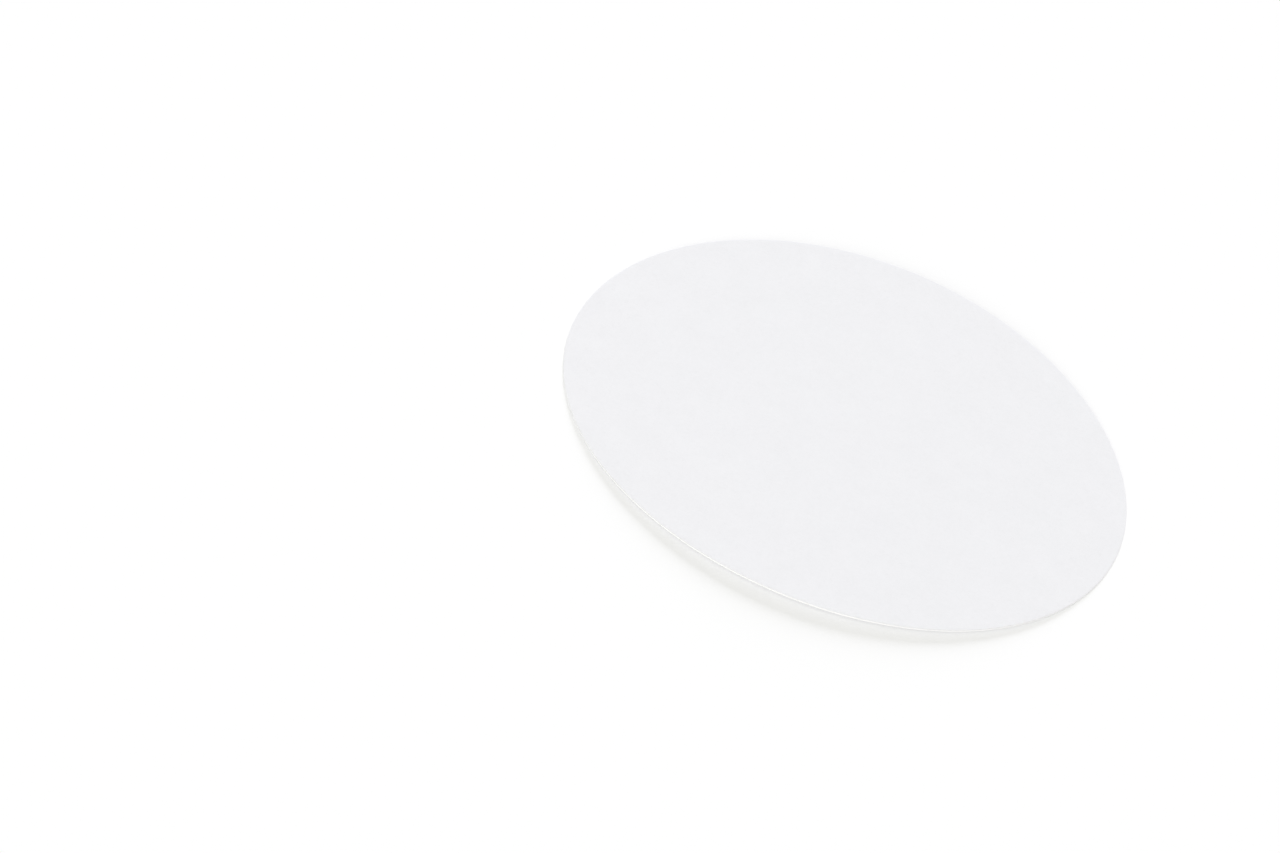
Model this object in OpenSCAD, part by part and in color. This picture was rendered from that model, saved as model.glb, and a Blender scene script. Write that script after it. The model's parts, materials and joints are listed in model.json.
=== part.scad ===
/*
  Filter paper disc: one round sheet of thin filter paper, cut in a single piece.

  The sheet keeps a slight natural curl about the Y direction. It lies with its
  hollow side down, so that the two ends of the rim on the X axis rest on the
  surface below, and each of them gives a little there and lies flat. The
  middle of the sheet stands about a millimetre clear of the surface.

  The rim is cut straight down, as a die cuts it. The origin lies on the surface
  that the disc rests on, below the middle of the sheet. All sizes are in
  millimetres.
*/

/* [Sheet] */

// Diameter that the disc is cut to
disc_d = 70; // [40:0.5:240]
// Thickness of the paper
sheet_t = 0.2; // [0.1:0.01:0.5]

/* [Curl] */

// Radius that the hollow side is curled to (a larger radius is a flatter disc)
curl_r = 600; // [300:10:3000]
// Depth to which the two resting ends of the rim are pressed flat
rest_flat = 0.05; // [0.01:0.01:0.08]

/* [Hidden] */

// The cutting shapes run this far past the sheet
overrun = 1;
// Sides of the round cut and of the curl, enough for both to look smooth
cut_sides = 256;
curl_sides = 2048;

disc_r = disc_d / 2;
// The curl's axis lies this far below the surface that the disc rests on
axis_depth = sqrt(curl_r^2 - disc_r^2) + rest_flat;
// The crown is the highest place of the sheet, in the middle of its outer side
crown_h = curl_r + sheet_t - axis_depth;

// A cylinder of radius r and width w, lying along Y on the axis of the curl
module curl_cylinder(r, w) {
    translate([0, 0, -axis_depth])
        rotate([90, 0, 0])
            cylinder(r = r, h = w, center = true, $fn = curl_sides);
}

// The straight cut that gives the disc its round rim, down to the resting surface
module round_cut() {
    cylinder(d = disc_d, h = crown_h + overrun, $fn = cut_sides);
}

// The disc: the round cut out of a sheet that is curled about Y
module filter_disc() {
    color("#f2f2f4")
        difference() {
            intersection() {
                round_cut();
                curl_cylinder(curl_r + sheet_t, disc_d + 2 * overrun);
            }
            curl_cylinder(curl_r, disc_d + 4 * overrun);
        }
}

filter_disc();
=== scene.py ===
import json
import math

import bpy
from mathutils import Matrix, Vector


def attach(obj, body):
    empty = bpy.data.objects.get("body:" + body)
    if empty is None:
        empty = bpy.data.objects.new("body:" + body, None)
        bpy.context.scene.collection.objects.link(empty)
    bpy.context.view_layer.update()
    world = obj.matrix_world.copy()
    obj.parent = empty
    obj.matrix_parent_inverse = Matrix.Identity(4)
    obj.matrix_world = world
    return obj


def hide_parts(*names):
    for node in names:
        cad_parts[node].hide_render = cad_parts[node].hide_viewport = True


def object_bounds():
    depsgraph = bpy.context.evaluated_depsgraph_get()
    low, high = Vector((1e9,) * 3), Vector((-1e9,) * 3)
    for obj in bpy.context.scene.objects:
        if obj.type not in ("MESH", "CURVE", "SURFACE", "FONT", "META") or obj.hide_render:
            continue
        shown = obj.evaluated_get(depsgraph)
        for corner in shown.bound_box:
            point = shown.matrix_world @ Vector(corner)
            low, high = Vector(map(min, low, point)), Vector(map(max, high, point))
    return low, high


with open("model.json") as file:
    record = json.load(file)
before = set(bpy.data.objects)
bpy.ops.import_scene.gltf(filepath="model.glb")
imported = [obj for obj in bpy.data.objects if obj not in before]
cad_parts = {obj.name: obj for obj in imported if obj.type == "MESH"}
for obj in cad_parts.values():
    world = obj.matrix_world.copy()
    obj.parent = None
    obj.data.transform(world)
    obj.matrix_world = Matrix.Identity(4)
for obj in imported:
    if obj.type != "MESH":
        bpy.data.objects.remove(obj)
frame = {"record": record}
cad_low, cad_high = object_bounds()

MM = 0.001

# The sheet, as it is cut and curled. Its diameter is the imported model's
DIAMETER = round(cad_high.x - cad_low.x, 4)
THICKNESS = 0.2 * MM
CURL_RADIUS = 600 * MM
REST_FLAT = 0.05 * MM

# The cut edge: the die rolls the upper edge over a little and leaves both corners slightly round
EDGE_ROLL_DEPTH = 0.025 * MM
EDGE_ROLL_WIDTH = 0.35 * MM
EDGE_ROUNDING = 0.045 * MM

# The slow waves that soft paper keeps from its drying
COCKLE_HEIGHT = 0.05 * MM
COCKLE_SIZE = 24 * MM
COCKLE_SEED = 4.0

# How finely the sheet is meshed: round the rim, from the middle to the rim and through the thickness
STEPS_AROUND = 256
RINGS = 60
WALL_STEPS = 5

# The view of the disc: how far round it, how high, how the view is turned and what the lens takes in
VIEW_AZIMUTH = math.radians(-1.6)
VIEW_ELEVATION = math.radians(35.85)
VIEW_ROLL = math.radians(22.25)
VIEW_DISTANCE = 0.8495
LENS = 201.9
SENSOR_WIDTH = 36.0
# The disc stands to the right of the view's middle and a little below it
AIM_LEFT = 24.6 * MM
AIM_UP = 0.56 * MM

WHITE = (1.0, 1.0, 1.0, 1.0)
PAPER_WHITE = tuple(frame["record"]["materials"][0]["base_color"])


class Wire:
    """A socket of a node tree. Arithmetic on a wire adds a Math node and gives its result's wire."""

    def __init__(self, board, socket):
        self.board = board
        self.socket = socket

    def __add__(self, other):
        return self.board.math("ADD", self, other)

    def __radd__(self, other):
        return self.board.math("ADD", other, self)

    def __sub__(self, other):
        return self.board.math("SUBTRACT", self, other)

    def __rsub__(self, other):
        return self.board.math("SUBTRACT", other, self)

    def __mul__(self, other):
        return self.board.math("MULTIPLY", self, other)

    def __rmul__(self, other):
        return self.board.math("MULTIPLY", other, self)

    def __truediv__(self, other):
        return self.board.math("DIVIDE", self, other)

    def __rtruediv__(self, other):
        return self.board.math("DIVIDE", other, self)

    def __pow__(self, other):
        return self.board.math("POWER", self, other)

    def __abs__(self):
        return self.board.math("ABSOLUTE", self)

    def root(self):
        return self.board.math("SQRT", self)

    def at_least(self, low):
        return self.board.math("MAXIMUM", self, low)

    def at_most(self, high):
        return self.board.math("MINIMUM", self, high)


class Board:
    """A node tree that is being wired up."""

    def __init__(self, tree):
        self.tree = tree
        tree.nodes.clear()

    def add(self, kind, settings=None, sockets=None, out=0):
        """Adds a node of this kind, sets its settings and then fills its sockets with values or wires.
        Gives the wire of its output out, or a list of wires where out is a list."""
        node = self.tree.nodes.new(kind)
        for name, setting in (settings or {}).items():
            setattr(node, name, setting)
        for key, value in (sockets or {}).items():
            if isinstance(value, Wire):
                self.tree.links.new(value.socket, node.inputs[key])
            else:
                node.inputs[key].default_value = value
        if isinstance(out, list):
            return [Wire(self, node.outputs[key]) for key in out]
        return Wire(self, node.outputs[out]) if len(node.outputs) else None

    def math(self, operation, *values):
        return self.add("ShaderNodeMath", {"operation": operation}, dict(enumerate(values)))

    def split(self, vector):
        return self.add("ShaderNodeSeparateXYZ", None, {0: vector}, ["X", "Y", "Z"])

    def join(self, x, y, z):
        return self.add("ShaderNodeCombineXYZ", None, {"X": x, "Y": y, "Z": z})

    def noise(self, place, scale, detail, seed):
        """Smooth noise about 0.5, one bump for each 1 / scale of place."""
        return self.add(
            "ShaderNodeTexNoise",
            {"noise_dimensions": "4D"},
            {"Vector": place, "W": seed, "Scale": scale, "Detail": detail},
        )

    def mix(self, share, first, second):
        """The first colour where share is 0 and the second where it is 1."""
        return self.add("ShaderNodeMix", {"data_type": "RGBA"}, {0: share, 6: first, 7: second}, 2)


# ---------------------------------------------------------------- the sheet's form

SHEET_INPUTS = {
    "Diameter": "NodeSocketFloat",
    "Thickness": "NodeSocketFloat",
    "Curl Radius": "NodeSocketFloat",
    "Rest Flat": "NodeSocketFloat",
    "Edge Roll Depth": "NodeSocketFloat",
    "Edge Roll Width": "NodeSocketFloat",
    "Edge Rounding": "NodeSocketFloat",
    "Cockle Height": "NodeSocketFloat",
    "Cockle Size": "NodeSocketFloat",
    "Seed": "NodeSocketFloat",
    "Steps Around": "NodeSocketInt",
    "Rings": "NodeSocketInt",
    "Wall Steps": "NodeSocketInt",
    "Paper": "NodeSocketMaterial",
}


def sheet_tree():
    """Geometry Nodes that cut, curl and lay one round sheet of paper."""
    tree = bpy.data.node_groups.new("curled_paper_disc", "GeometryNodeTree")
    for name, kind in SHEET_INPUTS.items():
        tree.interface.new_socket(name, in_out="INPUT", socket_type=kind)
    tree.interface.new_socket("Sheet", in_out="OUTPUT", socket_type="NodeSocketGeometry")
    board = Board(tree)
    given = dict(zip(SHEET_INPUTS, board.add("NodeGroupInput", out=list(SHEET_INPUTS))))

    # A slab one unit in radius and thickness, which the rules below then shape
    slab = board.add(
        "GeometryNodeMeshCylinder",
        {"fill_type": "TRIANGLE_FAN"},
        {
            "Vertices": given["Steps Around"],
            "Side Segments": given["Wall Steps"],
            "Fill Segments": given["Rings"],
            "Radius": 1.0,
            "Depth": 1.0,
        },
        "Mesh",
    )
    unit_x, unit_y, unit_z = board.split(board.add("GeometryNodeInputPosition"))
    disc_radius = given["Diameter"] / 2
    from_middle = (unit_x**2 + unit_y**2).root().at_most(1)

    # The rings lie closer together towards the rim, where the form turns fastest
    spread = disc_radius * (2 - from_middle)
    x = unit_x * spread
    y = unit_y * spread
    in_from_rim = disc_radius * (1 - from_middle) ** 2

    # Waves, which die out at the two ends that lie on the surface below
    wave_scale = 1 / given["Cockle Size"].at_least(MM)
    waves = board.noise(board.join(x, y, 0), wave_scale, detail=1.0, seed=given["Seed"])
    cockle = 2 * given["Cockle Height"] * (waves - 0.5) * (1 - (x / disc_radius) ** 2)

    # The two faces of the curled sheet, the lower one pressed flat where it rests
    axis_depth = (given["Curl Radius"] ** 2 - disc_radius**2).root() + given["Rest Flat"]
    lower = (given["Curl Radius"] ** 2 - x**2).root() - axis_depth + cockle
    upper = ((given["Curl Radius"] + given["Thickness"]) ** 2 - x**2).root() - axis_depth + cockle
    roll = (1 - in_from_rim / given["Edge Roll Width"]).at_least(0) ** 2 * given["Edge Roll Depth"]
    lower = lower.at_least(0)
    upper = upper - roll

    # How far up through the sheet each point lies, with a round corner at both faces' rims
    turn = (1 - in_from_rim / given["Edge Rounding"]).at_least(0)
    corner = given["Edge Rounding"] * (1 - (1 - turn**2).at_least(0).root()) / given["Thickness"]
    up = unit_z + 0.5
    through = up + (1 - 2 * up) * corner
    z = lower + (upper - lower) * through

    shaped = board.add(
        "GeometryNodeSetPosition", None, {"Geometry": slab, "Position": board.join(x, y, z)}
    )
    smooth = board.add("GeometryNodeSetShadeSmooth", None, {"Geometry": shaped})
    real = board.add("GeometryNodeRealizeInstances", None, {"Geometry": smooth})
    painted = board.add(
        "GeometryNodeSetMaterial", None, {"Geometry": real, "Material": given["Paper"]}
    )
    board.add("NodeGroupOutput", None, {"Sheet": painted})
    return tree


def made_by(tree, name, values):
    """A plain mesh object from a tree with these values for its inputs."""
    piece = bpy.data.objects.new(name, bpy.data.meshes.new(name))
    bpy.context.scene.collection.objects.link(piece)
    maker = piece.modifiers.new(name, "NODES")
    maker.node_group = tree
    for item in tree.interface.items_tree:
        if item.in_out == "INPUT":
            maker[item.identifier] = values[item.name]
    graph = bpy.context.evaluated_depsgraph_get()
    mesh = bpy.data.meshes.new_from_object(piece.evaluated_get(graph))
    piece.modifiers.clear()
    piece.data = mesh
    mesh.name = name
    return piece


# ---------------------------------------------------------------- the paper

# The mat: layers of fibres that run in different directions, turned a little off even steps
FIBRE_LAYERS = 6
FIBRE_LENGTH = 1.3 * MM
FIBRE_WIDTH = 0.09 * MM
FIBRE_SHARPNESS = 9
OFF_STEP = 0.37
# The fibres bend slowly along their length, by this much and over this distance
BEND = 0.5 * FIBRE_LENGTH
BEND_SIZE = 2 * FIBRE_LENGTH

# The cloudiness of the sheet, the tooth of its face and the layers that show in the cut
FORMATION_SIZE = 4.5 * MM
TOOTH_SIZE = 0.45 * MM
LAYER_HEIGHT = 0.03 * MM
LAYER_STRETCH = 15

# What makes the face thicker and whiter in places, in shares of one
CLOUD_SHARE = 0.25
TOOTH_SHARE = 0.3
FIBRE_SHARE = 0.45
# The white of the thinnest and of the thickest places, as shares of the paper's own
THIN_WHITE = 0.914
THICK_WHITE = 1.036
# The cut has this painted shade in the grooves between its layers, up to the first level of their
# noise, and is white from the second, partly the raw fibre's own white and partly a painted highlight
CUT_PAINTED_SHADE = (0.85, 0.85, 0.86, 1.0)
SHADE_UP_TO = 0.15
WHITE_FROM = 0.65

# How high the layers stand in the cut, and what share of it the fibres and the tooth stand
RELIEF = 0.014 * MM
FIBRE_RELIEF = 0.5
TOOTH_RELIEF = 0.3

ROUGHNESS = 0.9
TOOTH_ROUGHNESS = 0.08

# One seed for each pattern, so that none repeats another
FIBRE_SEED_STEP = 7.3
CLOUD_SEED = 3.1
TOOTH_SEED = 5.7
LAYER_SEED = 9.2


def fibres(board, place):
    """The mat of fibres: 1 along the middle of a fibre and 0 between fibres."""
    drift = board.add(
        "ShaderNodeTexNoise", None, {"Vector": place, "Scale": 1 / BEND_SIZE, "Detail": 1.0}, "Color"
    )
    shift = board.add("ShaderNodeVectorMath", {"operation": "SCALE"}, {0: drift, "Scale": BEND})
    bent = board.add("ShaderNodeVectorMath", {"operation": "ADD"}, {0: place, 1: shift})
    mat = None
    for layer in range(FIBRE_LAYERS):
        laid = board.add(
            "ShaderNodeMapping",
            {"vector_type": "TEXTURE"},
            {
                "Vector": bent,
                "Rotation": (0, 0, math.pi * (layer + OFF_STEP * (layer % 3)) / FIBRE_LAYERS),
                "Scale": (FIBRE_LENGTH, FIBRE_WIDTH, FIBRE_LENGTH),
            },
        )
        off_middle = abs(board.noise(laid, 1.0, detail=0.0, seed=FIBRE_SEED_STEP * layer) - 0.5)
        ridge = (1 - FIBRE_SHARPNESS * off_middle).at_least(0)
        mat = ridge if mat is None else board.math("MAXIMUM", mat, ridge)
    return mat


def paper_material():
    """Soft white filter paper: a mat of fine fibres, faintly cloudy, and whiter where it is cut,
    partly its raw fibre and partly a painted highlight, with painted shade between the cut's layers.
    """
    material = bpy.data.materials.new("filter_paper")
    material.use_nodes = True
    board = Board(material.node_tree)
    place = board.add("ShaderNodeTexCoord", out="Object")
    x, y, z = board.split(place)

    radius = (x**2 + y**2).root()
    cut = ((radius - (DIAMETER / 2 - EDGE_ROUNDING)) / EDGE_ROUNDING).at_least(0).at_most(1)
    mat = fibres(board, place)
    cloud = board.noise(place, 1 / FORMATION_SIZE, detail=2.0, seed=CLOUD_SEED)
    tooth = board.noise(place, 1 / TOOTH_SIZE, detail=3.0, seed=TOOTH_SEED)
    layer_length = LAYER_STRETCH * LAYER_HEIGHT
    along_layers = board.join(x / layer_length, y / layer_length, z / LAYER_HEIGHT)
    layers = board.noise(along_layers, 1.0, detail=2.0, seed=LAYER_SEED)

    thin = (*[THIN_WHITE * level for level in PAPER_WHITE], 1.0)
    thick = (*[THICK_WHITE * level for level in PAPER_WHITE], 1.0)
    face = board.mix(CLOUD_SHARE * cloud + TOOTH_SHARE * tooth + FIBRE_SHARE * mat, thin, thick)
    # The cut's colour: painted shade in the grooves between its layers and white on them, the white
    # partly the raw fibre's own and partly a painted highlight for light glowing through the thin edge
    layer_white_share = (layers - SHADE_UP_TO) / (WHITE_FROM - SHADE_UP_TO)
    raw_white_and_painted_highlight = board.mix(layer_white_share, CUT_PAINTED_SHADE, WHITE)
    colour = board.mix(cut, face, raw_white_and_painted_highlight)

    height = FIBRE_RELIEF * mat * (1 - cut) + TOOTH_RELIEF * tooth + layers * cut
    bump = board.add("ShaderNodeBump", None, {"Strength": 1.0, "Distance": RELIEF, "Height": height})
    shader = board.add(
        "ShaderNodeBsdfPrincipled",
        None,
        {
            "Base Color": colour,
            "Roughness": ROUGHNESS + TOOTH_ROUGHNESS * tooth,
            "IOR": 1.5,
            "Specular IOR Level": 0.25,
            "Normal": bump,
        },
    )
    board.add("ShaderNodeOutputMaterial", None, {"Surface": shader})
    return material


def filter_disc():
    """The one piece of the object, in the place of its solid."""
    disc = made_by(
        sheet_tree(),
        "filter_paper_sheet",
        {
            "Diameter": DIAMETER,
            "Thickness": THICKNESS,
            "Curl Radius": CURL_RADIUS,
            "Rest Flat": REST_FLAT,
            "Edge Roll Depth": EDGE_ROLL_DEPTH,
            "Edge Roll Width": EDGE_ROLL_WIDTH,
            "Edge Rounding": EDGE_ROUNDING,
            "Cockle Height": COCKLE_HEIGHT,
            "Cockle Size": COCKLE_SIZE,
            "Seed": COCKLE_SEED,
            "Steps Around": STEPS_AROUND,
            "Rings": RINGS,
            "Wall Steps": WALL_STEPS,
            "Paper": paper_material(),
        },
    )
    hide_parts("filter_disc")
    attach(disc, "root")
    return disc


# ---------------------------------------------------------------- floor, light and camera

FLOOR_SIZE = 8.0
# What the floor gives back to light on its way. Seen directly it is white
FLOOR_GREY = 0.93
# The share of the floor's white that shines up through it, as on a light table
FLOOR_GLOW = 0.30

# Warm light from all round and in front and cool light from behind together make the open floor white
WARM = (1.0, 0.998, 0.96)
COOL = (0.895, 0.90, 1.0)
SKY_LEVEL = 0.4725
# Each lamp: azimuth and elevation of where it stands, its share of white on the floor, how wide it is
LAMPS = {
    "rear_softbox": (182.0, 19.0, 0.28, 34.0, COOL),
    "front_softbox": (-7.0, 32.0, 0.28, 48.0, WARM),
}


def seen_directly(board):
    """1 for what the camera sees itself, in a mirror or through glass, and 0 for light on its way."""
    camera, glossy, clear = board.add(
        "ShaderNodeLightPath",
        out=["Is Camera Ray", "Is Glossy Ray", "Is Transmission Ray"],
    )
    return (camera + glossy + clear).at_most(1)


def floor():
    """A plain white floor lit a little from below, so that shadows on it stay light."""
    mesh = bpy.data.meshes.new("floor")
    half = FLOOR_SIZE / 2
    corners = [(-half, -half, 0), (half, -half, 0), (half, half, 0), (-half, half, 0)]
    mesh.from_pydata(corners, [], [(0, 1, 2, 3)])
    plate = bpy.data.objects.new("floor", mesh)
    bpy.context.scene.collection.objects.link(plate)

    material = bpy.data.materials.new("white_floor")
    material.use_nodes = True
    board = Board(material.node_tree)
    grey = (FLOOR_GREY, FLOOR_GREY, FLOOR_GREY, 1.0)
    shade = board.mix(seen_directly(board), grey, WHITE)
    matte = board.add("ShaderNodeBsdfDiffuse", None, {"Color": shade})
    glow = board.add("ShaderNodeEmission", None, {"Color": shade, "Strength": 1.0})
    lit = board.add("ShaderNodeMixShader", None, {0: FLOOR_GLOW, 1: matte, 2: glow})
    board.add("ShaderNodeOutputMaterial", None, {"Surface": lit})
    mesh.materials.append(material)


def sky():
    """Even light from all round, which itself looks white."""
    world = bpy.data.worlds.new("studio")
    bpy.context.scene.world = world
    world.use_nodes = True
    board = Board(world.node_tree)
    dim = (*[SKY_LEVEL * tint for tint in WARM], 1.0)
    light = board.add(
        "ShaderNodeBackground", None, {"Color": board.mix(seen_directly(board), dim, WHITE)}
    )
    board.add("ShaderNodeOutputWorld", None, {"Surface": light})


def towards(azimuth, elevation):
    """The direction from the disc to what stands at this azimuth and elevation. Azimuth 0 is -Y."""
    flat = math.cos(elevation)
    return Vector((math.sin(azimuth) * flat, -math.cos(azimuth) * flat, math.sin(elevation)))


def lamps():
    """Wide soft lamps, far off, so that the whole floor gets the same light."""
    for name, (azimuth, elevation, share, width, tint) in LAMPS.items():
        direction = towards(math.radians(azimuth), math.radians(elevation))
        light = bpy.data.lights.new(name, "SUN")
        light.energy = share * math.pi / direction.z
        light.color = tint
        light.angle = math.radians(width)
        lamp = bpy.data.objects.new(name, light)
        lamp.rotation_euler = direction.to_track_quat("Z", "Y").to_euler()
        lamp.location = direction
        bpy.context.scene.collection.objects.link(lamp)


def camera():
    """Looks at the disc from the front, with the view turned so that its right end hangs low."""
    back = towards(VIEW_AZIMUTH, VIEW_ELEVATION)
    level_right = Vector((0, 0, 1)).cross(back).normalized()
    level_up = back.cross(level_right)
    right = level_right * math.cos(VIEW_ROLL) + level_up * math.sin(VIEW_ROLL)
    up = back.cross(right)
    middle = Vector((0, 0, (cad_low.z + cad_high.z) / 2))
    place = middle + back * VIEW_DISTANCE
    aim = middle - right * AIM_LEFT + up * AIM_UP
    away = (place - aim).normalized()
    side = up.cross(away).normalized()

    data = bpy.data.cameras.new("camera")
    data.lens = LENS
    data.sensor_width = SENSOR_WIDTH
    eye = bpy.data.objects.new("camera", data)
    turned = Matrix((side, away.cross(side), away)).transposed().to_4x4()
    eye.matrix_world = Matrix.Translation(place) @ turned
    bpy.context.scene.collection.objects.link(eye)
    bpy.context.scene.camera = eye


floor()
sky()
lamps()
camera()
filter_disc()
bpy.context.scene.view_settings.view_transform = "Standard"
